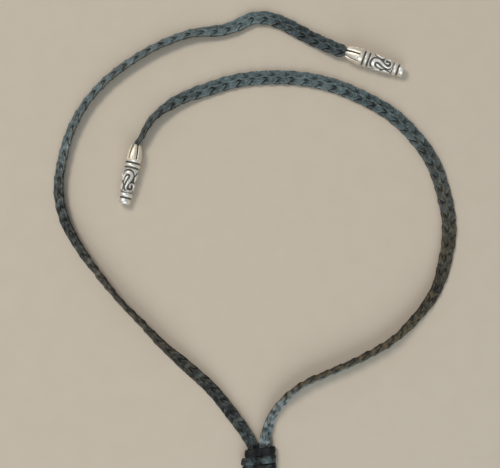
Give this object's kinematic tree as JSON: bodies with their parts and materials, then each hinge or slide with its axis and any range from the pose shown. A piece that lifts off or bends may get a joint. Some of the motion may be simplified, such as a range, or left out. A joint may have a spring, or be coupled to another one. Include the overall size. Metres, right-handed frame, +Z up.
{
  "type": "leather necklace",
  "caption": "Neck loop of flat plaited leather lace, bound at its bottom by a wound knot, with open ends in cast silver caps that carry petals, rings and raised scrollwork.",
  "frame": {"origin": "middle of the necklace's outline, on the table it lies on", "axes": "+Y from the wound knot towards the open ends, +Z up from the table, +X to the right of the loop seen from above"},
  "size_m": [0.1364, 0.1658, 0.0059],
  "materials": {
    "braid_leather": "worn, waxed",
    "wrap_leather": "worn, waxed",
    "cast_silver": "polished with darkened recesses"
  },
  "bodies": {
    "root": {"left_lace_1": "braid_leather", "left_lace_2": "braid_leather", "left_lace_3": "braid_leather", "right_lace_1": "braid_leather", "right_lace_2": "braid_leather", "right_lace_3": "braid_leather", "knot_wrap": "wrap_leather", "outer_tip": "cast_silver", "inner_tip": "cast_silver"}
  },
  "joints": []
}
